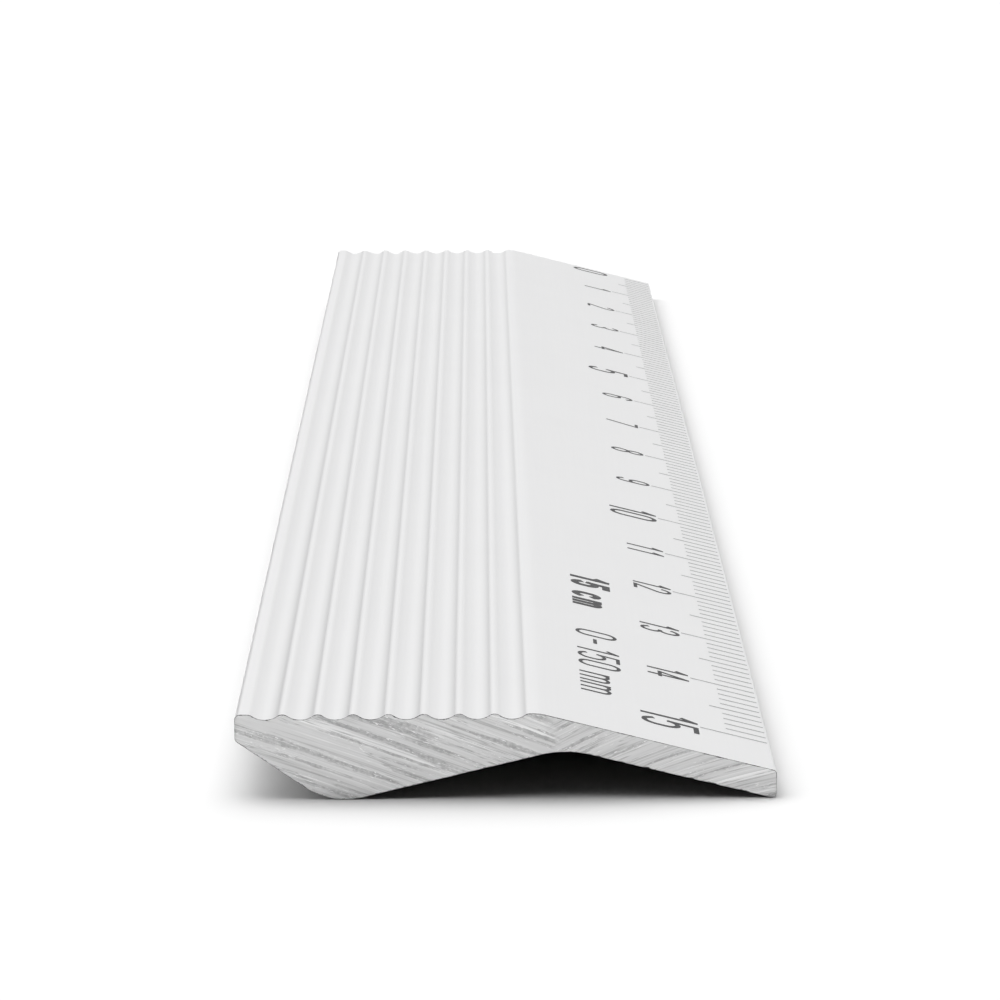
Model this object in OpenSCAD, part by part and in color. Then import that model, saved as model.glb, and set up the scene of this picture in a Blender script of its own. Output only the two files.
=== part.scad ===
// Measuring and cutting ruler: one aluminium extrusion with a grooved grip, an arched
// underside and a sloping scale face, and the scale that is printed on that face.
// Millimetres. X runs across the ruler to the scale edge, Y along it to the zero end, Z up.

/* [Body] */
// Length of the scale, in centimetres
scale_cm = 15; // [5:1:30]
// Plain metal past the last mark
end_margin = 5; // [3:0.5:10]
// Width across the ruler
body_w = 25; // [24.5:0.5:30]
// Height of the grip above the table
body_h = 4.05; // [3.8:0.05:4.6]

/* [Scale face] */
// Slope of the scale face, in degrees
face_slope = 14.2; // [13:0.1:15]
// Height of the scale edge above the table
edge_h = 1.28; // [1:0.02:1.5]
// Radius where the scale face rolls over into the grip
brow_r = 2; // [0.5:0.5:3]

/* [Grip] */
// Distance between two finger grooves; as many as fit are cut
groove_pitch = 1.63; // [1.5:0.01:1.66]
// Depth of a groove
groove_depth = 0.25; // [0.1:0.01:0.3]
// Radius on the crest between two grooves
crest_r = 0.4; // [0.2:0.05:0.5]
// Distance from the grip side to the bottom of the first groove
first_groove = 1.39; // [1.35:0.01:1.6]

/* [Underside] */
// Distance from the grip side to the lowest line of the foot
foot_x = 5.09; // [4.5:0.01:5.5]
// Radius of the rounded foot
foot_r = 3.3; // [2:0.1:3.5]
// Slope of the chamfer under the grip side, in degrees
chamfer_slope = 34.7; // [30:0.1:36]
// Slope of the arch on its grip half, in degrees
arch_grip_slope = 13.6; // [12:0.1:14]
// Slope of the arch on its scale half, in degrees
arch_scale_slope = 13.9; // [12:0.1:14]
// Radius at the top of the arch
arch_r = 4.85; // [2:0.05:6]

/* [Corners] */
// Radius on the top corner of the grip side
top_corner_r = 0.25; // [0.1:0.05:0.3]
// Radius on the top corner of the scale edge
edge_corner_r = 0.2; // [0.1:0.05:0.3]
// Radius on the corner between the grip side and the chamfer
side_corner_r = 0.2; // [0.1:0.05:0.4]
// Radius on the lower corner of the scale edge, which stands on the table
edge_foot_r = 0.2; // [0.1:0.05:0.3]

/* [Printed scale] */
// Thickness of the printed ink
ink_t = 0.01; // [0.01:0.01:0.05]
// Width of a scale line
line_w = 0.1; // [0.08:0.01:0.2]
// Bare strip between the scale edge and the lines
line_gap = 0.14; // [0.14:0.02:0.5]
// How far a millimetre line reaches from the scale edge
mm_reach = 2.1; // [1.5:0.1:2.4]
// How far a half-centimetre line reaches from the scale edge
half_reach = 2.7; // [2.5:0.1:3]
// How far a centimetre line reaches from the scale edge
cm_reach = 3.4; // [3.1:0.1:3.6]
// Height of the numerals 0, 5, 10 and so on
main_digit_h = 2.8; // [2.2:0.1:2.9]
// Height of the other numerals
digit_h = 2.1; // [1.6:0.1:2.2]
// Width of a numeral's figure, as a part of its height
digit_w = 0.49; // [0.4:0.01:0.56]
// Pen width of a numeral, as a part of its height
digit_pen = 0.095; // [0.06:0.005:0.12]
// Gap between the figures of a numeral, as a part of their height
digit_gap = 0.125; // [0.08:0.005:0.2]
// Bare metal between a numeral and its line
digit_lift = 0.1; // [0:0.05:0.3]
// Bare metal between the end of the ruler and the numeral 0
zero_gap = 0.5; // [0.3:0.1:1]

/* [Printed marks] */
// Height of the figures in the two marks
mark_h = 2.15; // [1.6:0.05:2.2]
// Distance from the scale edge to the foot of the marks
mark_reach = 9.15; // [9:0.05:9.6]
// Distance from the last centimetre line back to the end of the range mark
range_mark_end = 1.8; // [1:0.1:4]
// Distance from the last centimetre line back to the end of the length mark
length_mark_end = 20.8; // [19:0.1:24]
// Width of a figure in the two marks, as a part of its height
mark_w = 0.58; // [0.55:0.01:0.62]
// Gap between the figures of the two marks, as a part of their height
mark_gap = 0.2; // [0.1:0.01:0.25]
// Pen width of the range mark, as a part of its height
range_pen = 0.09; // [0.06:0.005:0.12]
// Pen width of the length mark, as a part of its height
length_pen = 0.2; // [0.12:0.01:0.2]

/* [Hidden] */
body_l = 10 * scale_cm + end_margin;
metal = [0.86, 0.86, 0.87];
ink = [0.16, 0.16, 0.17];

// Directions, and arcs as points on whole steps of angle, so that an arc's lowest and
// highest points are always among them
function heading(a) = [cos(a), sin(a)];
function unit(v) = v / norm(v);
function across(v) = [v.y, -v.x];
function arc(mid, r, from, to, step) =
    let (way = to > from ? step : -step,
         first = (to > from ? ceil(from / step) : floor(from / step)) * step,
         least = 0.1,
         inner = [for (a = [first:way:to]) if (abs(a - from) > least && abs(a - to) > least) a])
    [for (a = concat([from], inner, [to])) mid + r * heading(a)];

// ---- Cross-section, with X from the grip side and Y up from the table ----

// The point where a line through p at angle a meets a line through q at angle b
function meet(p, a, q, b) =
    p + heading(a) * cross(q - p, heading(b)) / cross(heading(a), heading(b));

// The foot and the lower corner of the scale edge both touch the table
foot_mid = [foot_x, foot_r];
edge_foot_mid = [body_w - edge_foot_r, edge_foot_r];
chamfer_touch = foot_mid + foot_r * heading(270 - chamfer_slope);
arch_grip_touch = foot_mid + foot_r * heading(270 + arch_grip_slope);
arch_scale_touch = edge_foot_mid + edge_foot_r * heading(270 - arch_scale_slope);

// The straight sides drawn out to sharp corners
brow = meet([body_w, edge_h], 180 - face_slope, [0, body_h], 0);
side_foot = meet(chamfer_touch, -chamfer_slope, [0, 0], 90);
foot = meet(chamfer_touch, -chamfer_slope, arch_grip_touch, arch_grip_slope);
arch_top = meet(arch_grip_touch, arch_grip_slope, arch_scale_touch, -arch_scale_slope);
edge_foot = meet(arch_scale_touch, -arch_scale_slope, [body_w, 0], 90);

// Each groove is one arc, which runs straight into the crest arcs beside it
half_pitch = groove_pitch / 2;
flank = 2 * atan(groove_depth / half_pitch);
groove_r = half_pitch / sin(flank) - crest_r;
groove_tip = body_h - groove_depth + groove_r - groove_r / cos(flank);
crest_tip = body_h - crest_r + crest_r / cos(flank);
shoulder = half_pitch - crest_r * tan(flank / 2);

// As many grooves as the flat grip holds before the brow begins
grip_end = brow.x - brow_r * tan(face_slope / 2);
groove_count = 1 + floor((grip_end - first_groove - half_pitch) / groove_pitch);
last_groove = first_groove + (groove_count - 1) * groove_pitch;

// Sharp corners and the radius on each, from the lower scale edge round over the top
corners = concat(
    [[edge_foot, edge_foot_r], [[body_w, edge_h], edge_corner_r], [brow, brow_r]],
    [[[last_groove + shoulder, body_h], crest_r]],
    [for (x = [last_groove:-groove_pitch:first_groove + half_pitch], tip = [0, 1])
        tip == 0 ? [[x, groove_tip], groove_r] : [[x - half_pitch, crest_tip], crest_r]],
    [[[first_groove, groove_tip], groove_r], [[first_groove - shoulder, body_h], crest_r]],
    [[[0, body_h], top_corner_r], [side_foot, side_corner_r], [foot, foot_r], [arch_top, arch_r]]
);

// A sharp corner between its neighbours, drawn as the arc that rounds it
section_step = 6;
function rounded(before, corner, after) =
    let (tip = corner[0],
         r = corner[1],
         back = unit(before[0] - tip),
         ahead = unit(after[0] - tip),
         half = acos(back * ahead) / 2,
         mid = tip + unit(back + ahead) * r / sin(half),
         start = tip + back * r / tan(half) - mid,
         from = atan2(start.y, start.x),
         turn = sign(cross(ahead, back)) * (180 - 2 * half))
    arc(mid, r, from, from + turn, section_step);

corner_count = len(corners);
section = [for (i = [0:corner_count - 1], p = rounded(
    corners[(i + corner_count - 1) % corner_count],
    corners[i],
    corners[(i + 1) % corner_count])) p];

// ---- Pen strokes of the figures ----

// A figure is a list of pen paths on a grid that is 2 units wide and 4 units high, with its
// middle at x = 0. A path that comes back to its start is a closed ring.
pen_step = 15;
function bend(mid, from, to, r = 1) = arc(mid, r, from, to, pen_step);
ring_6 = concat(bend([0, 1.35], 0, 180), bend([0, 1], 180, 360), [[1, 1.35]]);
hook_6 = concat([[-1, 1.2]], bend([0, 3], 180, 25));
function upside_down(paths) = [for (path = paths) [for (p = path) [-p.x, 4 - p.y]]];
function strokes(c) =
    c == "0" ? [concat(bend([0, 3], 0, 180), bend([0, 1], 180, 360), [[1, 3]])] :
    c == "1" ? [[[0.75, 4], [0.75, 0]], [[0.65, 3.9], [0.1, 3.1]]] :
    c == "2" ? [concat(bend([0, 3], 165, -40), [[-0.9, 0.13]]), [[-1, 0], [1, 0]]] :
    c == "3" ? [bend([0, 3], 155, -90), bend([0, 1], 90, -155)] :
    c == "4" ? [[[0.45, 4], [0.45, 0]], [[0.35, 3.9], [-0.95, 1.2]], [[-1, 1.1], [1, 1.1]]] :
    c == "5" ? [[[-0.7, 4], [0.9, 4]], [[-0.75, 3.9], [-0.9, 2]],
                concat(bend([0, 1.6], 155, 0), bend([0, 1], 0, -155))] :
    c == "6" ? [ring_6, hook_6] :
    c == "7" ? [[[-1, 4], [1, 4]], [[0.95, 3.95], [-0.35, 0]]] :
    c == "8" ? [bend([0, 3.05], 0, 360, 0.95), bend([0, 1.05], 0, 360, 1.05)] :
    c == "9" ? upside_down([ring_6, hook_6]) :
    c == "c" ? [concat(bend([0, 1.7], 40, 180), bend([0, 1], 180, 320))] :
    c == "m" ? [[[-1.5, 0], [-1.5, 2.7]], concat(bend([-0.75, 1.95], 180, 0, 0.75), [[0, 0]]),
                concat(bend([0.75, 1.95], 180, 0, 0.75), [[1.5, 0]])] :
    c == "-" ? [[[-0.7, 1.8], [0.7, 1.8]]] :
    [];
function grid_w(c) = c == "m" ? 3 : c == " " ? 0.6 : 2;

// One side of a pen path, at distance d from it, with mitred bends
function pen_side(path, d, closed) =
    let (last = len(path) - 1)
    [for (i = [0:last])
        let (before = i > 0 ? path[i - 1] : closed ? path[last] : 2 * path[0] - path[1],
             after = i < last ? path[i + 1] : closed ? path[0] : 2 * path[last] - path[last - 1],
             side_in = across(unit(path[i] - before)),
             side_out = across(unit(after - path[i])),
             side = unit(side_in + side_out))
        path[i] + side * d / (side * side_in)];

module pen(path, w) {
    last = len(path) - 1;
    if (norm(path[0] - path[last]) < w / 10) {
        loop = [for (i = [0:last - 1]) path[i]];
        difference() {
            polygon(pen_side(loop, w / 2, true));
            polygon(pen_side(loop, -w / 2, true));
        }
    } else {
        start = path[0] + unit(path[0] - path[1]) * w / 2;
        end = path[last] + unit(path[last] - path[last - 1]) * w / 2;
        line = concat([start], [for (i = [1:1:last - 1]) path[i]], [end]);
        back = pen_side(line, -w / 2, false);
        polygon(concat(pen_side(line, w / 2, false), [for (i = [len(back) - 1:-1:0]) back[i]]));
    }
}

// How figures are drawn: [height, width of one figure, pen width, gap between figures]
function lettering(h, w_part, pen_part, gap_part) = h * [1, w_part, pen_part, gap_part];
function unit_w(style) = (style[1] - style[2]) / 2;
function unit_h(style) = (style[0] - style[2]) / 4;
function cell(c, style) = grid_w(c) * unit_w(style) + style[2] + style[3];
function row_length(words, style, n) =
    n == 0 ? 0 : row_length(words, style, n - 1) + cell(words[n - 1], style);

// A row of figures, which starts at the origin
module figures(words, style) {
    for (n = [0:len(words) - 1]) {
        middle = row_length(words, style, n) + cell(words[n], style) / 2;
        for (path = strokes(words[n]))
            pen([for (p = path) [middle + p.x * unit_w(style), style[2] / 2 + p.y * unit_h(style)]],
                style[2]);
    }
}

// ---- Printed ink ----

// Lays flat shapes on the scale face as a film of ink. Their X is the reading of the scale,
// from zero, and their Y runs towards the scale edge, where it is zero.
module printed() {
    color(ink)
        translate([body_w / 2, body_l / 2, edge_h])
            rotate([0, face_slope, 0])
                rotate([0, 0, -90])
                    linear_extrude(ink_t)
                        children();
}

module scale_lines(readings, reach) {
    printed()
        for (reading = readings)
            translate([reading - line_w / 2, -reach])
                square([line_w, reach - line_gap]);
}

last_mm = 10 * scale_cm;

// ---- The pieces ----

module ruler_body() {
    color(metal)
        translate([-body_w / 2, body_l / 2])
            rotate([90, 0, 0])
                linear_extrude(body_l)
                    polygon(section);
}

module millimetre_lines() {
    scale_lines([for (mm = [1:last_mm - 1]) if (mm % 5 != 0) mm], mm_reach);
}

module half_centimetre_lines() {
    scale_lines([5:10:last_mm - 5], half_reach);
}

module centimetre_lines() {
    scale_lines([10:10:last_mm], cm_reach);
}

// Each numeral is centred on its line, but the 0 stands just inside the end of the ruler
module numeral(cm) {
    words = str(cm);
    h = cm % 5 == 0 ? main_digit_h : digit_h;
    style = lettering(h, digit_w, digit_pen, digit_gap);
    half_length = row_length(words, style, len(words)) / 2;
    printed()
        translate([max(10 * cm, zero_gap + half_length) - half_length, -cm_reach - digit_lift - h])
            figures(words, style);
}

// A row of figures that ends a given distance before the last centimetre line
module printed_mark(words, pen_part, end) {
    style = lettering(mark_h, mark_w, pen_part, mark_gap);
    printed()
        translate([last_mm - end - row_length(words, style, len(words)), -mark_reach])
            figures(words, style);
}

module length_mark() {
    printed_mark(str(scale_cm, " cm"), length_pen, length_mark_end);
}

module range_mark() {
    printed_mark(str("0-", last_mm, " mm"), range_pen, range_mark_end);
}

ruler_body();
millimetre_lines();
half_centimetre_lines();
centimetre_lines();
for (cm = [0:scale_cm])
    numeral(cm);
length_mark();
range_mark();
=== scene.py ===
"""A 15 cm measuring and cutting ruler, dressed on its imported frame.

The ruler is one extruded bar of satin anodised aluminium: a grip with eight finger grooves, a
sloping scale face with a printed scale, an arched underside and raw saw-cut ends. Lengths in
the classes are millimetres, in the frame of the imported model: X across the ruler towards the
scale edge, Y along it towards the zero end, Z up from the table.
"""
import logging
import math
from dataclasses import dataclass, field
from enum import Enum

import bpy
import numpy as np
from mathutils import Euler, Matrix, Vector


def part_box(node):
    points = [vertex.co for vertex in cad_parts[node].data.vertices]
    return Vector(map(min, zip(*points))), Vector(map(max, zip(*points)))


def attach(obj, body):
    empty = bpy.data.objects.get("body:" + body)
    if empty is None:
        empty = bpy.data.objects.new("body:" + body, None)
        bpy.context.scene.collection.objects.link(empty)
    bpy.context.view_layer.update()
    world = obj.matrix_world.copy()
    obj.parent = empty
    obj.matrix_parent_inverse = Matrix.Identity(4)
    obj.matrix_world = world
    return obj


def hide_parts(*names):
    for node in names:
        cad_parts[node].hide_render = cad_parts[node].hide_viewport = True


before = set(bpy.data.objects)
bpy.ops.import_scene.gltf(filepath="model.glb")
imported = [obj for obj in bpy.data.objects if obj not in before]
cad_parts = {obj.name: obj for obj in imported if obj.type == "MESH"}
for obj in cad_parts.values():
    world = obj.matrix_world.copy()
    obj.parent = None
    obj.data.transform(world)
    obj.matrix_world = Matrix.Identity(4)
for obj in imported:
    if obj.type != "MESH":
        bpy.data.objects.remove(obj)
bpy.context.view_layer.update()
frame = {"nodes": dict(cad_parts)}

MM = 0.001
LOG = logging.getLogger("ruler")

Colour = tuple[float, float, float, float]


class Slot(Enum):
    """The record's material slots."""

    METAL = "anodised_aluminium"
    LINES = "line_ink"
    FIGURES = "figure_ink"


class BarEnd(Enum):
    """The two sawn ends of the bar, by the direction in which each one faces along Y."""

    NEAR = -1
    ZERO = 1


class Place(Enum):
    """Which finish a face of the bar takes. The value is its place in the material list."""

    SKIN = 0
    SAWN = 1
    EDGE = 2


# Node trees

@dataclass
class NodeBench:
    """Adds nodes to one node tree and wires them up.

    Attributes:
        tree: The node tree that the nodes go into.
    """

    tree: bpy.types.NodeTree

    def feed(self, node: bpy.types.Node, inputs: dict[str | int, object]) -> None:
        """Links a node's inputs, or sets their values.

        Args:
            node: The node.
            inputs: Output sockets or plain values, by the input's number or by its name,
                where _ stands for a space.
        """
        for key, value in inputs.items():
            socket = node.inputs[key.replace("_", " ") if isinstance(key, str) else key]
            if isinstance(value, bpy.types.NodeSocket):
                self.tree.links.new(value, socket)
            else:
                socket.default_value = value

    def add(self, kind: str, settings: dict | None = None,
            numbered: dict[int, object] | None = None, **inputs: object) -> bpy.types.Node:
        """Adds a node and fills in its inputs.

        Args:
            kind: The node's class name.
            settings: Node properties to set before its inputs.
            numbered: Input values or sockets by number, for inputs without names of their own.
            **inputs: Input values or sockets by name, where _ stands for a space.

        Returns:
            The new node.
        """
        node = self.tree.nodes.new(kind)
        for name, value in (settings or {}).items():
            setattr(node, name, value)
        self.feed(node, {**(numbered or {}), **inputs})
        return node

    def math(self, operation: str, *values: object) -> bpy.types.NodeSocket:
        """Adds a Math node.

        Args:
            operation: The operation's name.
            *values: Its operands.

        Returns:
            The result's socket.
        """
        return self.add("ShaderNodeMath", {"operation": operation},
                        dict(enumerate(values))).outputs[0]

    def vector(self, operation: str, *values: object) -> bpy.types.NodeSocket:
        """Adds a Vector Math node.

        Args:
            operation: The operation's name.
            *values: Its operands.

        Returns:
            The result's socket.
        """
        node = self.add("ShaderNodeVectorMath", {"operation": operation}, dict(enumerate(values)))
        return node.outputs["Value" if operation == "DOT_PRODUCT" else "Vector"]

    def span(self, value: object, low: float, high: float, to_low: float = 0.0,
             to_high: float = 1.0) -> bpy.types.NodeSocket:
        """Maps a value smoothly from one range to another.

        Args:
            value: The value to map.
            low: Where the range starts.
            high: Where the range ends.
            to_low: The result at low.
            to_high: The result at high.

        Returns:
            The mapped value's socket.
        """
        node = self.add("ShaderNodeMapRange", {"interpolation_type": "SMOOTHSTEP"},
                        Value=value, From_Min=low, From_Max=high, To_Min=to_low, To_Max=to_high)
        return node.outputs["Result"]

    def mix(self, share: object, first: object, second: object) -> bpy.types.NodeSocket:
        """Mixes two numbers.

        Args:
            share: How much of the second number counts, from 0 to 1.
            first: The first number.
            second: The second number.

        Returns:
            The mixed number's socket.
        """
        return self.add("ShaderNodeMix", {"data_type": "FLOAT"},
                        {0: share, 2: first, 3: second}).outputs[0]

    def blend(self, share: object, first: object, second: object) -> bpy.types.NodeSocket:
        """Mixes two colours.

        Args:
            share: How much of the second colour shows, from 0 to 1.
            first: The first colour.
            second: The second colour.

        Returns:
            The mixed colour's socket.
        """
        return self.add("ShaderNodeMix", {"data_type": "RGBA"},
                        {0: share, 6: first, 7: second}).outputs[2]

    def noise(self, place: object, scale: float = 1.0, detail: float = 3.0,
              roughness: float = 0.6) -> bpy.types.NodeSocket:
        """Adds a Noise Texture.

        Args:
            place: The coordinates that it reads.
            scale: Its scale.
            detail: Its number of octaves.
            roughness: How strongly the finer octaves count.

        Returns:
            The noise's socket, about 0.5 on average.
        """
        return self.add("ShaderNodeTexNoise", Vector=place, Scale=scale, Detail=detail,
                        Roughness=roughness).outputs[0]


@dataclass
class MaterialBench(NodeBench):
    """The bench of one material.

    Attributes:
        shader: The Principled shader.
        place: The socket of the object coordinates.
    """

    shader: bpy.types.Node = field(init=False)
    place: bpy.types.NodeSocket = field(init=False)

    def __post_init__(self) -> None:
        """Adds the shader, the output and the coordinates."""
        self.shader = self.add("ShaderNodeBsdfPrincipled")
        self.add("ShaderNodeOutputMaterial", Surface=self.shader.outputs["BSDF"])
        self.place = self.add("ShaderNodeTexCoord").outputs["Object"]

    def shade(self, **inputs: object) -> None:
        """Fills in the shader's inputs.

        Args:
            **inputs: Values or sockets by name, where _ stands for a space.
        """
        self.feed(self.shader, inputs)

    def bump(self, height: object, depth: float,
             under: object | None = None) -> bpy.types.NodeSocket:
        """Adds a Bump node.

        Args:
            height: The height's socket, 0 to 1.
            depth: The full height, in millimetres.
            under: The normal of a bump below this one, if there is one.

        Returns:
            The normal's socket.
        """
        node = self.add("ShaderNodeBump", Height=height, Strength=1.0, Distance=depth * MM)
        if under is not None:
            self.feed(node, {"Normal": under})
        return node.outputs["Normal"]


@dataclass(frozen=True)
class Socket:
    """One named socket of a shader group.

    Attributes:
        name: The socket's name.
        kind: Its socket class.
        default: Its default value, on an input.
    """

    name: str
    kind: str = "NodeSocketFloat"
    default: float | None = None


class SharedEffect:
    """A shader effect that several finishes use, kept as one node group.

    Attributes:
        name: The group's name.
        inputs: The group's inputs.
        outputs: The group's outputs.
    """

    name: str
    inputs: tuple[Socket, ...]
    outputs: tuple[Socket, ...]

    def group(self) -> bpy.types.NodeTree:
        """Returns the node group, and builds it the first time."""
        return bpy.data.node_groups.get(self.name) or self.build()

    def build(self) -> bpy.types.NodeTree:
        """Makes the group with its sockets and wires its inside.

        Returns:
            The new node group.
        """
        tree = bpy.data.node_groups.new(self.name, "ShaderNodeTree")
        for direction, sockets in (("INPUT", self.inputs), ("OUTPUT", self.outputs)):
            for socket in sockets:
                made = tree.interface.new_socket(socket.name, in_out=direction,
                                                 socket_type=socket.kind)
                if socket.default is not None:
                    made.default_value = socket.default
        bench = NodeBench(tree)
        entry, result = bench.add("NodeGroupInput"), bench.add("NodeGroupOutput")
        bench.feed(result, self.wire(bench, entry.outputs))
        return tree

    def wire(self, bench: NodeBench, entry: bpy.types.NodeOutputs) -> dict[str, object]:
        """Builds the effect's nodes.

        Args:
            bench: The group's bench.
            entry: The group's input sockets.

        Returns:
            The sockets that feed the group's outputs, by name.
        """
        raise NotImplementedError

    def place(self, bench: NodeBench, **inputs: object) -> bpy.types.NodeOutputs:
        """Places the group in a material.

        Args:
            bench: The material's bench.
            **inputs: Values or sockets for its inputs, where _ stands for a space.

        Returns:
            The placed group's output sockets.
        """
        return bench.add("ShaderNodeGroup", {"node_tree": self.group()}, **inputs).outputs


class DrawnGrain(SharedEffect):
    """Fine lines that run along Y, left by the extrusion die and by brushing."""

    name = "drawn_grain"
    inputs = (Socket("Place", "NodeSocketVector"), Socket("Spacing", default=0.1),
              Socket("Run", default=12.0))
    outputs = (Socket("Tone"), Socket("Height"))

    def wire(self, bench: NodeBench, entry: bpy.types.NodeOutputs) -> dict[str, object]:
        """Stretches two layers of noise along Y.

        Args:
            bench: The group's bench.
            entry: Place, Spacing and Run, the last two in millimetres.

        Returns:
            Tone, 0 to 1, and Height, 0 to 1.
        """
        fine = bench.math("DIVIDE", 1.0 / MM, entry["Spacing"])
        along = bench.math("DIVIDE", 1.0 / MM, entry["Run"])
        stretch = bench.add("ShaderNodeCombineXYZ", X=fine, Y=along, Z=fine).outputs[0]
        drawn = bench.vector("MULTIPLY", entry["Place"], stretch)
        lines = bench.noise(drawn)
        wide = bench.noise(drawn, scale=0.12, detail=2.0, roughness=0.5)
        return {"Tone": bench.mix(0.4, lines, wide), "Height": lines}


class SawStreaks(SharedEffect):
    """Streaks that a saw leaves across an end, with torn patches and bright flecks."""

    name = "saw_streaks"
    inputs = (Socket("Place", "NodeSocketVector"), Socket("Start", default=0.0),
              Socket("Slope", default=0.0), Socket("Bow", default=0.0))
    outputs = (Socket("Bands"), Socket("Lines"), Socket("Scratch"), Socket("Torn"),
               Socket("Fleck"))

    def wire(self, bench: NodeBench, entry: bpy.types.NodeOutputs) -> dict[str, object]:
        """Follows the saw's path over the face and stretches noise along it.

        Args:
            bench: The group's bench.
            entry: Place, in metres; Start, where across the ruler the path has its Slope; and
                Bow, how much the slope changes with each millimetre.

        Returns:
            Bands, broad and soft; Lines, fine; Scratch, thin and dark; Torn, patches with
            ragged edges; and Fleck, small and bright. Each is 0 to 1.
        """
        place = bench.add("ShaderNodeVectorMath", {"operation": "SCALE"}, Vector=entry["Place"],
                          Scale=1.0 / MM).outputs[0]
        axes = bench.add("ShaderNodeSeparateXYZ", Vector=place).outputs
        run = bench.math("SUBTRACT", axes["X"], entry["Start"])
        bow = bench.math("MULTIPLY", bench.math("MULTIPLY", run, run),
                         bench.math("MULTIPLY", entry["Bow"], 0.5))
        rise = bench.math("ADD", bench.math("MULTIPLY", run, entry["Slope"]), bow)
        off = bench.math("SUBTRACT", axes["Z"], rise)
        flow = bench.add("ShaderNodeCombineXYZ", X=run, Y=axes["Y"], Z=off).outputs[0]

        def layer(long: float, thick: float, **finer: float) -> bpy.types.NodeSocket:
            """Stretches one layer of noise along the saw's path."""
            stretched = bench.vector("MULTIPLY", flow, (1.0 / long, 0.3, 1.0 / thick))
            return bench.noise(stretched, **finer)

        bands = layer(long=11.0, thick=0.5, detail=2.0, roughness=0.5)
        lines = layer(long=6.0, thick=0.09)
        wander = layer(long=9.0, thick=0.33, roughness=0.55)
        ragged = layer(long=0.3, thick=0.06, roughness=0.65)
        smooth = layer(long=5.5, thick=0.36, roughness=0.55)
        patch = bench.math("MULTIPLY_ADD", ragged, 0.16, smooth)
        from_middle = bench.math("ABSOLUTE", bench.math("SUBTRACT", wander, 0.5))
        scratch = bench.span(from_middle, 0.0, 0.014, 1.0, 0.0)
        return {"Bands": bands, "Lines": lines, "Scratch": scratch,
                "Torn": bench.span(patch, 0.62, 0.69),
                "Fleck": bench.math("MULTIPLY", bench.span(ragged, 0.6, 0.66),
                                    bench.span(patch, 0.58, 0.63))}


class Specks(SharedEffect):
    """Scattered small specks, such as dust, pits and pinholes."""

    name = "specks"
    inputs = (Socket("Place", "NodeSocketVector"), Socket("Spacing", default=4.0),
              Socket("Size", default=0.05))
    outputs = (Socket("Mask"),)
    empty_cells = 0.6

    def wire(self, bench: NodeBench, entry: bpy.types.NodeOutputs) -> dict[str, object]:
        """Puts a dot at the middle of some of the cells.

        Args:
            bench: The group's bench.
            entry: Place, Spacing in millimetres, and Size as a part of the spacing.

        Returns:
            Mask, 1 on a speck and 0 elsewhere.
        """
        cells = bench.add("ShaderNodeTexVoronoi", {"feature": "F1"}, Vector=entry["Place"],
                          Scale=bench.math("DIVIDE", 1.0 / MM, entry["Spacing"]))
        drawn = bench.add("ShaderNodeSeparateColor", Color=cells.outputs["Color"]).outputs[0]
        chosen = bench.math("GREATER_THAN", drawn, self.empty_cells)
        dot = bench.math("LESS_THAN", cells.outputs["Distance"], entry["Size"])
        return {"Mask": bench.math("MULTIPLY", chosen, dot)}


# Finishes

@dataclass(frozen=True)
class Finish:
    """A finish, as one material.

    Attributes:
        name: The material's name.
    """

    name: str

    def material(self) -> bpy.types.Material:
        """Makes the material with its Principled shader.

        Returns:
            The material.
        """
        made = bpy.data.materials.new(self.name)
        made.use_nodes = True
        made.node_tree.nodes.clear()
        self.dress(MaterialBench(made.node_tree))
        return made

    def dress(self, bench: MaterialBench) -> None:
        """Wires the finish's pattern into its shader.

        Args:
            bench: The material's bench.
        """
        raise NotImplementedError


@dataclass(frozen=True)
class AnodisedSkin(Finish):
    """Satin clear-anodised aluminium with a fine lengthwise grain.

    Attributes:
        light: The metal's colour on the bright lines of the grain.
        dull: The metal's colour on the dull lines.
        speck: The colour of a speck.
    """

    light: Colour = (0.90, 0.90, 0.903, 1.0)
    dull: Colour = (0.872, 0.872, 0.876, 1.0)
    speck: Colour = (0.25, 0.25, 0.26, 1.0)

    def dress(self, bench: MaterialBench) -> None:
        """Wires grain, cloudy patches and a few specks.

        Args:
            bench: The material's bench.
        """
        grain = DrawnGrain().place(bench, Place=bench.place, Spacing=0.14, Run=14.0)
        haze = bench.noise(bench.place, scale=140.0)
        specks = Specks().place(bench, Place=bench.place, Spacing=7.0, Size=0.012)
        tone = bench.span(bench.mix(0.3, grain["Tone"], haze), 0.3, 0.7)
        metal = bench.blend(tone, self.dull, self.light)
        bench.shade(Base_Color=bench.blend(specks["Mask"], metal, self.speck), Metallic=1.0,
                    Roughness=bench.span(grain["Tone"], 0.3, 0.7, 0.33, 0.37),
                    Normal=bench.bump(grain["Height"], depth=0.0004))


@dataclass(frozen=True)
class SawPath:
    """The path of one family of saw marks over an end of the bar.

    Attributes:
        start: Where across the ruler the path has its slope, from the bar's middle.
        slope: How much it climbs with each millimetre towards the scale edge.
        bow: How much that changes with each millimetre.
    """

    start: float
    slope: float
    bow: float = 0.0

    def offset(self, x: np.ndarray, z: np.ndarray) -> np.ndarray:
        """Measures how far points lie above the path.

        Args:
            x: Distance across the ruler from the bar's middle.
            z: Height above the table.

        Returns:
            The distance of each point above the path, in Z.
        """
        run = x - self.start
        return z - self.slope * run - self.bow / 2 * run * run


# Where across the ruler, from its middle, the falling marks give way to the climbing ones.
CROSS_OVER = 2.4
FALLING = SawPath(-12.5, -0.34, -0.003)
CLIMBING = SawPath(CROSS_OVER, 0.52, -0.031)


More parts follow.
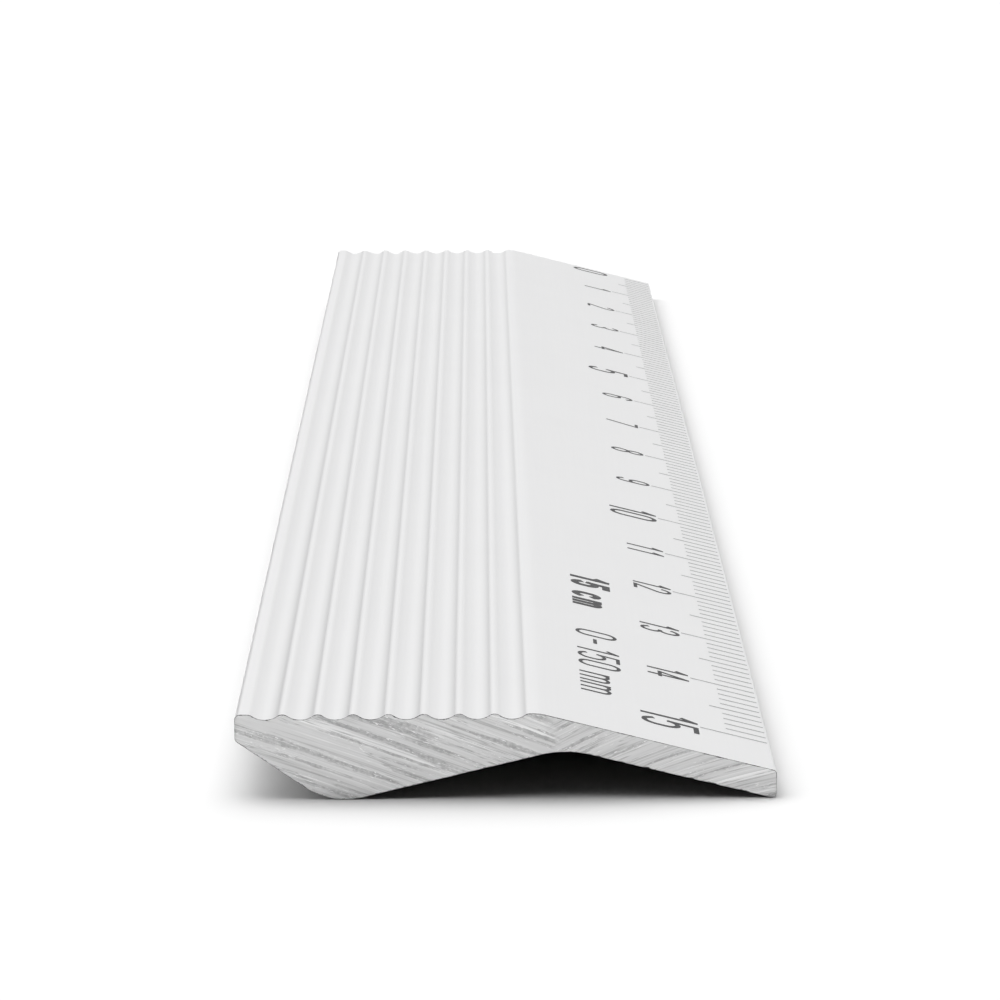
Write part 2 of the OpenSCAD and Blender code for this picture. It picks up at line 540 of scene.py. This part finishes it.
@dataclass(frozen=True)
class SawnFace(Finish):
    """Raw saw-cut aluminium: streaks that fall on the grip side and climb under the scale
    face, with torn patches between them.

    Attributes:
        metal: The colour of freshly cut metal.
        bright: The colour of the bright lines.
        dark: The colour of the dark lines and patches.
        scratch: How dark a scratch is, from 0 to 1.
        seam: How wide a strip the two families of marks meet in, in millimetres.
        seam_wander: How far that strip wanders.
        seam_lean: How much it leans for each millimetre up.
    """

    metal: Colour = (0.66, 0.66, 0.66, 1.0)
    bright: Colour = (0.84, 0.84, 0.84, 1.0)
    dark: Colour = (0.36, 0.36, 0.363, 1.0)
    scratch: float = 0.7
    seam: float = 1.3
    seam_wander: float = 2.5
    seam_lean: float = -0.25

    def climbing_share(self, bench: MaterialBench) -> bpy.types.NodeSocket:
        """Parts the face between the two families of marks.

        Args:
            bench: The material's bench.

        Returns:
            The share of the climbing family, which is 1 on the scale side.
        """
        axes = bench.add("ShaderNodeSeparateXYZ", Vector=bench.place).outputs
        noise = bench.noise(bench.place, scale=900.0)
        wander = bench.math("MULTIPLY", bench.math("SUBTRACT", noise, 0.5),
                            self.seam_wander * MM)
        lean = bench.math("SUBTRACT", bench.math("ADD", axes["X"], wander),
                          bench.math("MULTIPLY", axes["Z"], self.seam_lean))
        return bench.span(lean, CROSS_OVER * MM, (CROSS_OVER + self.seam) * MM)

    def dress(self, bench: MaterialBench) -> None:
        """Wires the two families of streaks.

        Args:
            bench: The material's bench.
        """
        streaks = SawStreaks()
        families = [streaks.place(bench, Place=bench.place, Start=path.start,
                                  Slope=path.slope, Bow=path.bow)
                    for path in (FALLING, CLIMBING)]
        side = self.climbing_share(bench)

        def pick(name: str) -> bpy.types.NodeSocket:
            """Takes a streak output from the family that its side of the face belongs to."""
            falling, climbing = (family[name] for family in families)
            return bench.mix(side, falling, climbing)

        lines, bands, torn = pick("Lines"), pick("Bands"), pick("Torn")
        tone = bench.mix(0.45, lines, bands)
        metal = bench.blend(bench.span(tone, 0.28, 0.48), self.dark, self.metal)
        metal = bench.blend(bench.span(tone, 0.52, 0.68), metal, self.bright)
        scratch = bench.math("MULTIPLY", pick("Scratch"), self.scratch)
        metal = bench.blend(scratch, metal, self.dark)
        noise = bench.noise(bench.place, scale=4500.0)
        mottle = bench.span(noise, 0.3, 0.7, 0.35, 0.85)
        metal = bench.blend(bench.math("MULTIPLY", torn, mottle), metal, self.dark)
        metal = bench.blend(pick("Fleck"), metal, self.bright)
        coarse = bench.bump(bands, depth=0.012)
        fine = bench.bump(lines, depth=0.004, under=coarse)
        bench.shade(Base_Color=metal, Metallic=1.0,
                    Roughness=bench.span(lines, 0.3, 0.7, 0.6, 0.45),
                    Normal=bench.bump(torn, depth=0.003, under=fine))


@dataclass(frozen=True)
class BurredEdge(Finish):
    """The thin edge between the skin and a sawn face, broken with a file and a little dark.

    Attributes:
        light: The colour of the filed metal.
        dark: The colour of the dark lengths along the edge.
    """

    light: Colour = (0.36, 0.36, 0.365, 1.0)
    dark: Colour = (0.07, 0.07, 0.072, 1.0)

    def dress(self, bench: MaterialBench) -> None:
        """Wires broken dark and light lengths along the edge.

        Args:
            bench: The material's bench.
        """
        noise = bench.noise(bench.place, scale=2600.0, roughness=0.65)
        broken = bench.span(noise, 0.42, 0.6)
        dull = bench.noise(bench.place, scale=900.0, detail=2.0, roughness=0.5)
        bench.shade(Base_Color=bench.blend(broken, self.dark, self.light), Metallic=1.0,
                    Roughness=bench.span(dull, 0.3, 0.7, 0.4, 0.65),
                    Normal=bench.bump(broken, depth=0.006))


@dataclass(frozen=True)
class PrintedInk(Finish):
    """A thin film of printed ink with slight gaps where it did not take.

    Attributes:
        ink: The colour where the film is full.
        thin: The colour where the film is thin and the metal shows through.
    """

    ink: Colour = (0.022, 0.022, 0.024, 1.0)
    thin: Colour = (0.075, 0.075, 0.08, 1.0)

    def dress(self, bench: MaterialBench) -> None:
        """Wires the film's mottling.

        Args:
            bench: The material's bench.
        """
        mottle = bench.noise(bench.place, scale=5200.0, roughness=0.65)
        pinholes = Specks().place(bench, Place=bench.place, Spacing=0.35, Size=0.16)
        thin = bench.math("MAXIMUM", bench.span(mottle, 0.5, 0.72),
                          bench.math("MULTIPLY", pinholes["Mask"], 0.5))
        bench.shade(Base_Color=bench.blend(thin, self.ink, self.thin), Metallic=0.0,
                    Roughness=bench.span(mottle, 0.3, 0.7, 0.45, 0.62),
                    Normal=bench.bump(mottle, depth=0.003))


@dataclass(frozen=True)
class TableTop(Finish):
    """A plain pale table.

    Attributes:
        pale: The table's colour.
        shade: Its colour in the faint cloudy patches.
        spill: The colour that it lends to other matt surfaces, which keeps shadows deep.
    """

    pale: Colour = (0.8, 0.8, 0.8, 1.0)
    shade: Colour = (0.79, 0.79, 0.79, 1.0)
    spill: Colour = (0.1, 0.1, 0.1, 1.0)

    def dress(self, bench: MaterialBench) -> None:
        """Wires a faint cloudiness.

        Args:
            bench: The material's bench.
        """
        cloud = bench.noise(bench.place, scale=6.0, detail=2.0, roughness=0.5)
        bounces = bench.add("ShaderNodeLightPath").outputs["Diffuse Depth"]
        seen = bench.blend(cloud, self.pale, self.shade)
        colour = bench.blend(bench.math("GREATER_THAN", bounces, 0.5), seen, self.spill)
        bench.shade(Base_Color=colour, Roughness=0.9, Specular_IOR_Level=0.1)


# The bar

@dataclass(frozen=True)
class Corner:
    """A corner of the cross-section, before it is rounded.

    Attributes:
        across: Distance from the grip side.
        up: Height above the table.
        radius: The radius that rounds it.
    """

    across: float
    up: float
    radius: float

    @property
    def tip(self) -> np.ndarray:
        """The sharp corner as a point."""
        return np.array([self.across, self.up])


def heading(degrees: float) -> np.ndarray:
    """Returns the unit vector at an angle from the X axis."""
    return np.array([math.cos(math.radians(degrees)), math.sin(math.radians(degrees))])


def cross(a: np.ndarray, b: np.ndarray) -> float:
    """Returns the cross product of two flat vectors."""
    return float(a[0] * b[1] - a[1] * b[0])


def meet(p: np.ndarray, a: float, q: np.ndarray, b: float) -> np.ndarray:
    """Finds where two lines meet.

    Args:
        p: A point on the first line.
        a: The first line's angle, in degrees.
        q: A point on the second line.
        b: The second line's angle, in degrees.

    Returns:
        The point on both lines.
    """
    return p + heading(a) * cross(q - p, heading(b)) / cross(heading(a), heading(b))


@dataclass
class CrossSection:
    """The bar's cross-section. X runs from the grip side and Y up from the table.

    Attributes:
        width: Width across the ruler.
        height: Height of the grip above the table.
        face_slope: Slope of the scale face, in degrees.
        edge_height: Height of the scale edge.
        brow_radius: Radius between the scale face and the grip.
        groove_count: Number of finger grooves.
        groove_pitch: Distance between two grooves.
        groove_depth: Depth of a groove.
        crest_radius: Radius on the crest between two grooves.
        first_groove: Distance from the grip side to the first groove.
        foot_across: Distance from the grip side to the foot's lowest line.
        foot_radius: Radius of the foot.
        chamfer_slope: Slope of the chamfer under the grip side, in degrees.
        arch_grip_slope: Slope of the arch on its grip half, in degrees.
        arch_scale_slope: Slope of the arch on its scale half, in degrees.
        arch_radius: Radius at the top of the arch.
        top_radius: Radius of the top corner of the grip side.
        edge_top_radius: Radius of the top corner of the scale edge.
        side_radius: Radius between the grip side and the chamfer.
        edge_foot_radius: Radius of the lower corner of the scale edge.
        step: Angle between two points on an arc, in degrees.
    """

    width: float
    height: float
    face_slope: float = 14.2
    edge_height: float = 1.28
    brow_radius: float = 2.0
    groove_count: int = 8
    groove_pitch: float = 1.63
    groove_depth: float = 0.25
    crest_radius: float = 0.4
    first_groove: float = 1.39
    foot_across: float = 5.09
    foot_radius: float = 3.3
    chamfer_slope: float = 34.7
    arch_grip_slope: float = 13.6
    arch_scale_slope: float = 13.9
    arch_radius: float = 4.85
    top_radius: float = 0.25
    edge_top_radius: float = 0.2
    side_radius: float = 0.2
    edge_foot_radius: float = 0.2
    step: float = 3.0

    def underside(self) -> list[Corner]:
        """Finds the corners from the grip side's foot to the scale edge's foot.

        Returns:
            The corners of the underside.
        """
        foot_mid = np.array([self.foot_across, self.foot_radius])
        edge_mid = np.array([self.width - self.edge_foot_radius, self.edge_foot_radius])
        chamfer = foot_mid + self.foot_radius * heading(270 - self.chamfer_slope)
        grip_half = foot_mid + self.foot_radius * heading(270 + self.arch_grip_slope)
        scale_half = edge_mid + self.edge_foot_radius * heading(270 - self.arch_scale_slope)
        tips = (
            (meet(chamfer, -self.chamfer_slope, np.zeros(2), 90), self.side_radius),
            (meet(chamfer, -self.chamfer_slope, grip_half, self.arch_grip_slope),
             self.foot_radius),
            (meet(grip_half, self.arch_grip_slope, scale_half, -self.arch_scale_slope),
             self.arch_radius),
            (meet(scale_half, -self.arch_scale_slope, np.array([self.width, 0.0]), 90),
             self.edge_foot_radius),
        )
        return [Corner(float(tip[0]), float(tip[1]), radius) for tip, radius in tips]

    def grip(self) -> list[Corner]:
        """Finds the corners of the grooves, from the scale side to the grip side.

        Returns:
            The corners of the grip.
        """
        half = self.groove_pitch / 2
        flank = 2 * math.atan(self.groove_depth / half)
        radius = half / math.sin(flank) - self.crest_radius
        low = self.height - self.groove_depth + radius - radius / math.cos(flank)
        high = self.height + self.crest_radius / math.cos(flank) - self.crest_radius
        shoulder = half - self.crest_radius * math.tan(flank / 2)
        last = self.first_groove + (self.groove_count - 1) * self.groove_pitch
        corners = [Corner(last + shoulder, self.height, self.crest_radius)]
        for groove in range(self.groove_count):
            middle = last - groove * self.groove_pitch
            corners += [Corner(middle, low, radius),
                        Corner(middle - half, high, self.crest_radius)]
        corners[-1] = Corner(self.first_groove - shoulder, self.height, self.crest_radius)
        return corners

    def top(self) -> list[Corner]:
        """Finds the corners from the top of the scale edge to the top of the grip side.

        Returns:
            The corners of the top.
        """
        edge = np.array([self.width, self.edge_height])
        brow = meet(edge, 180 - self.face_slope, np.array([0.0, self.height]), 0)
        face = [Corner(self.width, self.edge_height, self.edge_top_radius),
                Corner(float(brow[0]), self.height, self.brow_radius)]
        return face + self.grip() + [Corner(0.0, self.height, self.top_radius)]

    def arc(self, before: Corner, corner: Corner, after: Corner) -> list[np.ndarray]:
        """Rounds one corner.

        Args:
            before: The corner before it.
            corner: The corner to round.
            after: The corner after it.

        Returns:
            The points along its arc.
        """
        back = before.tip - corner.tip
        ahead = after.tip - corner.tip
        back, ahead = back / np.linalg.norm(back), ahead / np.linalg.norm(ahead)
        half = math.acos(float(np.clip(back @ ahead, -1, 1))) / 2
        bisector = back + ahead
        middle = corner.tip + bisector / np.linalg.norm(bisector) * corner.radius / math.sin(half)
        spoke = corner.tip + back * corner.radius / math.tan(half) - middle
        start = math.degrees(math.atan2(spoke[1], spoke[0]))
        turn = math.copysign(180 - 2 * math.degrees(half), cross(ahead, back))
        end = start + turn
        low, high = min(start, end), max(start, end)
        whole = [self.step * k for k in range(math.ceil(low / self.step),
                                              math.floor(high / self.step) + 1)]
        apart = self.step / 10
        inner = [a for a in whole if low + apart < a < high - apart]
        angles = [start] + (inner if turn > 0 else inner[::-1]) + [end]
        return [middle + corner.radius * heading(a) for a in angles]

    def outlines(self) -> tuple[np.ndarray, np.ndarray]:
        """Rounds every corner.

        Returns:
            The points of the underside and those of the top, each from the grip side to the
            scale edge.
        """
        top, under = self.top(), self.underside()
        corners = top + under
        arcs = [self.arc(corners[i - 1], corners[i], corners[(i + 1) % len(corners)])
                for i in range(len(corners))]
        over = [point for arc in arcs[:len(top)] for point in arc]
        below = [point for arc in arcs[len(top):] for point in arc]
        return np.array(below), np.array(over[::-1])


@dataclass
class SawMarks:
    """The relief that the saw left on an end of the bar.

    Attributes:
        depth: The deepest mark.
        spacing: The distance between two marks.
        blend: The width over which one family of marks gives way to the other.
        count: The number of marks in a family, more than enough for the face.
        seed: The seed of their random depths.
        levels: The random depths of both families.
    """

    depth: float = 0.015
    spacing: float = 0.2
    blend: float = 0.8
    count: int = 400
    seed: int = 7
    levels: np.ndarray = field(init=False)

    def __post_init__(self) -> None:
        """Draws the random depths of the marks."""
        self.levels = np.random.default_rng(self.seed).random((2, self.count))

    def read(self, offset: np.ndarray, levels: np.ndarray) -> np.ndarray:
        """Reads one family's depths between its marks.

        Args:
            offset: Distance above the family's path.
            levels: The family's random depths.

        Returns:
            The depth at each point, from 0 to 1.
        """
        place = offset / self.spacing + self.count / 2
        index = np.floor(place).astype(int)
        share = place - index
        share = share * share * (3 - 2 * share)
        return levels[index] * (1 - share) + levels[index + 1] * share

    def depths(self, x: np.ndarray, z: np.ndarray) -> np.ndarray:
        """Gives the depth of the marks at points on the end of the bar.

        Args:
            x: Distance across the ruler from the bar's middle.
            z: Height above the table.

        Returns:
            The depth at each point.
        """
        falling, climbing = (self.read(path.offset(x, z), levels)
                             for path, levels in zip((FALLING, CLIMBING), self.levels))
        side = np.clip((x - CROSS_OVER) / self.blend, 0, 1)
        return self.depth * (falling * (1 - side) + climbing * side)


def strip(first: np.ndarray, second: np.ndarray) -> np.ndarray:
    """Joins two closed rings of points with faces.

    Args:
        first: The numbers of the first ring's points.
        second: The numbers of the second ring's points.

    Returns:
        The four points of each face.
    """
    return np.stack([first, second, np.roll(second, -1), np.roll(first, -1)], 1)


@dataclass
class RulerBar:
    """The extruded bar with its two sawn ends.

    Attributes:
        low: The lowest corner of its box, in millimetres.
        high: The highest corner of its box, in millimetres.
        column_gap: The widest gap between two columns of an end face.
        least_gap: The gap under which two columns become one.
        rows: The number of faces up an end face.
        edge_break: The size of the broken edge round an end.
        chip: The size of the largest chips along it.
        arch_chip: The size of the largest chips under the arch, where the saw broke out.
        chip_rarity: How rare large chips are, as a power of an even draw.
        crease: The angle from which an edge of the mesh is sharp, in degrees.
        marks: The relief of its ends.
        seed: The seed of its variation.
    """

    low: Vector
    high: Vector
    column_gap: float = 0.1
    least_gap: float = 0.0005
    rows: int = 22
    edge_break: float = 0.018
    chip: float = 0.04
    arch_chip: float = 0.08
    chip_rarity: int = 6
    crease: float = 32.0
    marks: SawMarks = field(default_factory=SawMarks)
    seed: int = 3

    def columns(self) -> tuple[np.ndarray, np.ndarray]:
        """Cuts the cross-section into columns that hold every point of its outline.

        Returns:
            The points at the columns' feet and the points at their heads.
        """
        size = self.high - self.low
        bottom, top = CrossSection(size.x, size.z).outlines()
        across = np.unique(np.round(np.concatenate([top[:, 0], bottom[:, 0]]), 5))
        filled = [across[:1]]
        for a, b in zip(across[:-1], across[1:]):
            parts = max(1, math.ceil((b - a) / self.column_gap))
            filled.append(np.linspace(a, b, parts + 1)[1:])
        x = np.concatenate(filled)
        x = x[np.concatenate([[True], np.diff(x) > self.least_gap])]
        x[0], x[-1] = 0.0, size.x
        feet = np.stack([x, np.interp(x, bottom[:, 0], bottom[:, 1])], 1)
        heads = np.stack([x, np.interp(x, top[:, 0], top[:, 1])], 1)
        return feet, heads

    def fill(self, feet: np.ndarray, heads: np.ndarray) -> np.ndarray:
        """Spreads points evenly up each column.

        Args:
            feet: The points at the columns' feet.
            heads: The points at their heads.

        Returns:
            The points, by column and row.
        """
        share = np.linspace(0, 1, self.rows + 1)[None, :, None]
        return feet[:, None] * (1 - share) + heads[:, None] * share

    def rim(self, count: int) -> tuple[np.ndarray, np.ndarray]:
        """Lists the points round an end face, anticlockwise from the grip side's foot.

        Args:
            count: The number of columns.

        Returns:
            The points' columns and their rows.
        """
        last, rows = count - 1, self.rows
        places = ([(i, 0) for i in range(count)]
                  + [(last, j) for j in range(1, rows + 1)]
                  + [(i, rows) for i in range(last - 1, -1, -1)]
                  + [(0, j) for j in range(rows - 1, 0, -1)])
        columns, levels = np.array(places).T
        return columns, levels

    def inset(self, ring: np.ndarray, amount: np.ndarray) -> np.ndarray:
        """Moves a closed ring of points inwards.

        Args:
            ring: The points, anticlockwise.
            amount: How far each one moves.

        Returns:
            The moved points.
        """
        ahead, back = np.roll(ring, -1, 0) - ring, ring - np.roll(ring, 1, 0)
        ahead /= np.linalg.norm(ahead, axis=1)[:, None]
        back /= np.linalg.norm(back, axis=1)[:, None]
        way = ahead + back
        way /= np.linalg.norm(way, axis=1)[:, None]
        return ring + np.stack([-way[:, 1], way[:, 0]], 1) * amount[:, None]

    def breaks(self, count: int, under: int, rng: np.random.Generator) -> np.ndarray:
        """Draws the size of the broken edge at each point of a ring.

        Args:
            count: The number of points.
            under: How many of them, from the first, lie underneath.
            rng: The random numbers to draw from.

        Returns:
            The size at each point.
        """
        rough = rng.random(count) ** self.chip_rarity
        smooth = (np.roll(rough, 1) + 4 * rough + np.roll(rough, -1)) / 6
        largest = np.where(np.arange(count) < under, self.arch_chip, self.chip)
        return self.edge_break + largest * smooth

    def saw_off(self, end: BarEnd, grid: np.ndarray, rng: np.random.Generator) -> np.ndarray:
        """Shapes one sawn end with its relief and its broken edge.

        Args:
            end: Which end it is.
            grid: The points of the cross-section, by column and row.
            rng: The random numbers to draw from.

        Returns:
            The points of the sawn face and then those of the ring where the skin begins.
        """
        rim = self.rim(len(grid))
        ring = grid[rim]
        size = self.breaks(len(ring), len(grid), rng)
        sheet = grid.copy()
        sheet[rim] = self.inset(ring, size)
        sheet[1:-1, 1:-1] = self.fill(sheet[1:-1, 0], sheet[1:-1, -1])[:, 1:-1]
        wall = self.high.y if end is BarEnd.ZERO else self.low.y
        relief = self.marks.depths(sheet[:, :, 0] + self.low.x, sheet[:, :, 1])
        face = np.stack([sheet[:, :, 0], wall - end.value * relief, sheet[:, :, 1]], 2)
        back = wall - end.value * (size + self.marks.depth / 2)
        edge = np.stack([ring[:, 0], back, ring[:, 1]], 1)
        return np.concatenate([face.reshape(-1, 3), edge])

    def build(self) -> bpy.types.Object:
        """Builds the bar as one closed mesh.

        Returns:
            The bar's object.
        """
        rng = np.random.default_rng(self.seed)
        grid = self.fill(*self.columns())
        near, zero = (self.saw_off(end, grid, rng) for end in BarEnd)
        points = np.concatenate([near, zero]) + np.array((self.low.x, 0.0, self.low.z))
        number = np.arange(grid[:, :, 0].size).reshape(grid.shape[:2])
        inner = number[self.rim(len(grid))]
        outer = number.size + np.arange(len(inner))
        sawn = np.stack([number[:-1, :-1], number[1:, :-1], number[1:, 1:], number[:-1, 1:]],
                        2).reshape(-1, 4)
        near_faces = np.concatenate([sawn, strip(inner, outer)])
        zero_faces = near_faces[:, ::-1] + len(near)
        faces = np.concatenate([near_faces, zero_faces, strip(outer, outer + len(near))])
        places = 2 * ([Place.SAWN.value] * len(sawn) + [Place.EDGE.value] * len(outer))
        places += [Place.SKIN.value] * len(outer)
        mesh = bpy.data.meshes.new("ruler_bar")
        mesh.from_pydata((points * MM).tolist(), [], faces.tolist())
        mesh.polygons.foreach_set("material_index", places)
        mesh.polygons.foreach_set("use_smooth", [True] * len(faces))
        mesh.update()
        mesh.set_sharp_from_angle(angle=math.radians(self.crease))
        bar = bpy.data.objects.new("ruler_bar", mesh)
        bpy.context.scene.collection.objects.link(bar)
        return bar

    def dress(self, bar: bpy.types.Object) -> None:
        """Gives the bar its three finishes and puts it in the CAD body's place.

        Args:
            bar: The bar's object.
        """
        for finish in (AnodisedSkin("anodised_skin"), SawnFace("sawn_face"),
                       BurredEdge("burred_edge")):
            bar.data.materials.append(finish.material())
        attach(bar, "root")
        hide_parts("ruler_body")


# The printed scale

@dataclass
class PrintedScale:
    """The ink on the scale face, on the CAD nodes that hold it.

    Attributes:
        nodes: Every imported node, by name.
        lines: The nodes that hold the scale's lines.
        line_ink: The ink of the lines, which is thinner and lets the metal show.
        figure_ink: The ink of the numerals and marks.
    """

    nodes: dict[str, bpy.types.Object]
    lines: tuple[str, ...] = ("millimetre_lines", "half_centimetre_lines", "centimetre_lines")
    line_ink: PrintedInk = PrintedInk("line_ink", (0.38, 0.38, 0.385, 1.0),
                                      (0.5, 0.5, 0.505, 1.0))
    figure_ink: PrintedInk = PrintedInk("figure_ink")

    def dress(self) -> list[str]:
        """Inks the lines and the figures.

        Returns:
            The names of the inked nodes.
        """
        line_ink, figure_ink = self.line_ink.material(), self.figure_ink.material()
        inked = [name for name in self.nodes if name != "ruler_body"]
        for name in inked:
            node = self.nodes[name]
            is_line = name in self.lines
            node.data.materials.clear()
            node.data.materials.append(line_ink if is_line else figure_ink)
        return inked


# The studio

@dataclass(frozen=True)
class SoftBox:
    """A large soft light far away.

    Attributes:
        turn: Its direction round the ruler, in degrees from the zero end towards the scale edge.
        height: Its height above the horizon, in degrees.
        spread: The angle from its middle to its rim, in degrees.
        strength: Its brightness at the middle.
    """

    turn: float
    height: float
    spread: float
    strength: float

    @property
    def direction(self) -> Vector:
        """Finds where the light hangs.

        Returns:
            The unit vector towards its middle.
        """
        turn, height = math.radians(self.turn), math.radians(self.height)
        return Vector((math.sin(turn) * math.cos(height), math.cos(turn) * math.cos(height),
                       math.sin(height)))


@dataclass
class Studio:
    """A pale table, soft light and the camera.

    Attributes:
        near_end: Where the near end of the bar stands along Y.
        table_half: Half the table's side.
        boxes: The soft lights.
        mirror_top: The brightest that any light looks in the metal.
        mirror_knee: The brightness at which a light looks half as bright as that.
        aside: How much of its brightness a light overhead or to the side keeps in the metal.
        tilt: How much brighter the grip side looks in the metal, and how much darker the other.
        fill: The brightness of the room's near half, as the metal mirrors it.
        camera_near: The nearest distance that the camera sees.
        camera_across: The camera's place across the ruler.
        camera_back: How far the camera stands from the near end.
        camera_up: The camera's height above the table.
        camera_pitch: How far the camera looks down, in degrees.
        camera_yaw: How far it looks towards the scale edge, in degrees.
        camera_roll: How far it leans, in degrees.
        lens: Its focal length on a 36 mm wide frame.
    """

    near_end: float
    table_half: float = 4000.0
    boxes: tuple[SoftBox, ...] = (
        SoftBox(-60, 8, 28, 1.0),
        SoftBox(0, 8, 28, 0.4),
        SoftBox(30, 8, 28, 0.55),
        SoftBox(60, 8, 28, 0.6),
        SoftBox(-60, 35, 35, 1.4),
        SoftBox(0, 35, 35, 0.5),
        SoftBox(60, 35, 35, 0.4),
        SoftBox(-60, 60, 30, 1.8),
        SoftBox(0, 60, 35, 1.75),
        SoftBox(0, 90, 35, 2.3),
        SoftBox(-100, 15, 35, 0.4),
        SoftBox(-95, 50, 35, 1.4),
        SoftBox(100, 15, 35, 0.3),
    )
    mirror_top: float = 2.0
    mirror_knee: float = 0.8
    aside: float = 0.5
    tilt: float = 0.08
    fill: float = 0.8
    camera_near: float = 10.0
    camera_across: float = -1.08
    camera_back: float = 197.65
    camera_up: float = 53.0
    camera_pitch: float = 11.141
    camera_yaw: float = 0.246
    camera_roll: float = -0.208
    lens: float = 159.1

    def lay_table(self) -> None:
        """Lays the table under the ruler."""
        half = self.table_half * MM
        mesh = bpy.data.meshes.new("table")
        mesh.from_pydata([(-half, -half, 0), (half, -half, 0), (half, half, 0),
                          (-half, half, 0)], [], [(0, 1, 2, 3)])
        table = bpy.data.objects.new("table", mesh)
        bpy.context.scene.collection.objects.link(table)
        table.data.materials.append(TableTop("table_top").material())

    def glow(self, bench: NodeBench, towards: object) -> object:
        """Adds up the soft boxes.

        Args:
            bench: The world's bench.
            towards: The direction's socket.

        Returns:
            The brightness in that direction.
        """
        total = 0.0
        for box in self.boxes:
            nearness = bench.vector("DOT_PRODUCT", towards, tuple(box.direction))
            light = bench.span(nearness, math.cos(math.radians(box.spread)), 1.0, 0.0,
                               box.strength)
            total = bench.math("ADD", total, light)
        return total

    def mirrored(self, bench: NodeBench, towards: object, glow: object) -> object:
        """Tones the room down as the metal mirrors it, so that it never burns out.

        Args:
            bench: The world's bench.
            towards: The direction's socket.
            glow: The brightness of the soft boxes in that direction.

        Returns:
            The brightness that the metal mirrors.
        """
        axes = bench.add("ShaderNodeSeparateXYZ", Vector=towards).outputs
        soft = bench.math("DIVIDE", bench.math("MULTIPLY", glow, self.mirror_top),
                          bench.math("ADD", glow, self.mirror_knee))
        ahead = bench.span(axes["Y"], 0.4, 0.95, self.aside, 1.0)
        sideways = bench.span(axes["X"], -0.3, 0.3, 1.0 + self.tilt, 1.0 - self.tilt)
        soft = bench.math("MULTIPLY", bench.math("MULTIPLY", soft, ahead), sideways)
        near_half = bench.span(axes["Y"], -0.2, 0.3, self.fill, 0.0)
        return bench.math("MAXIMUM", soft, near_half)

    def light_room(self) -> None:
        """Lights the room with the soft boxes."""
        world = bpy.data.worlds.new("room")
        world.use_nodes = True
        world.node_tree.nodes.clear()
        bench = NodeBench(world.node_tree)
        towards = bench.add("ShaderNodeTexCoord").outputs["Generated"]
        glow = self.glow(bench, towards)
        path = bench.add("ShaderNodeLightPath").outputs
        by_metal = bench.math("MULTIPLY", path["Is Glossy Ray"],
                              bench.math("LESS_THAN", path["Diffuse Depth"], 0.5))
        seen = bench.mix(by_metal, glow, self.mirrored(bench, towards, glow))
        lamp = bench.add("ShaderNodeBackground", Color=(1.0, 1.0, 1.0, 1.0), Strength=seen)
        bench.add("ShaderNodeOutputWorld", Surface=lamp.outputs[0])
        world.cycles.sampling_method = "NONE"
        bpy.context.scene.world = world

    def place_camera(self) -> None:
        """Places the camera before the near end of the ruler."""
        data = bpy.data.cameras.new("camera")
        data.sensor_width = 36.0
        data.lens = self.lens
        data.clip_start = self.camera_near * MM
        camera = bpy.data.objects.new("camera", data)
        bpy.context.scene.collection.objects.link(camera)
        camera.location = Vector((self.camera_across, self.near_end - self.camera_back,
                                  self.camera_up)) * MM
        look = Euler((math.radians(90 - self.camera_pitch), 0.0,
                      -math.radians(self.camera_yaw)), "XYZ").to_matrix()
        lean = Euler((0.0, 0.0, math.radians(self.camera_roll)), "XYZ").to_matrix()
        camera.rotation_euler = (look @ lean).to_euler()
        bpy.context.scene.camera = camera

    def set_up(self) -> None:
        """Builds the whole studio."""
        self.lay_table()
        self.light_room()
        self.place_camera()
        bpy.context.scene.view_settings.view_transform = "Standard"


def main() -> None:
    """Builds the ruler and the studio in order."""
    logging.basicConfig(level=logging.INFO, format="%(name)s: %(message)s")
    low, high = (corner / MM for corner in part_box("ruler_body"))
    bar_maker = RulerBar(low, high)
    bar = bar_maker.build()
    bar_maker.dress(bar)
    LOG.info("%s: %d faces", bar.name, len(bar.data.polygons))
    inked = PrintedScale(frame["nodes"]).dress()
    LOG.info("inked: %s", ", ".join(inked))
    Studio(near_end=low.y).set_up()
    LOG.info("studio ready")


if __name__ == "__main__":
    main()
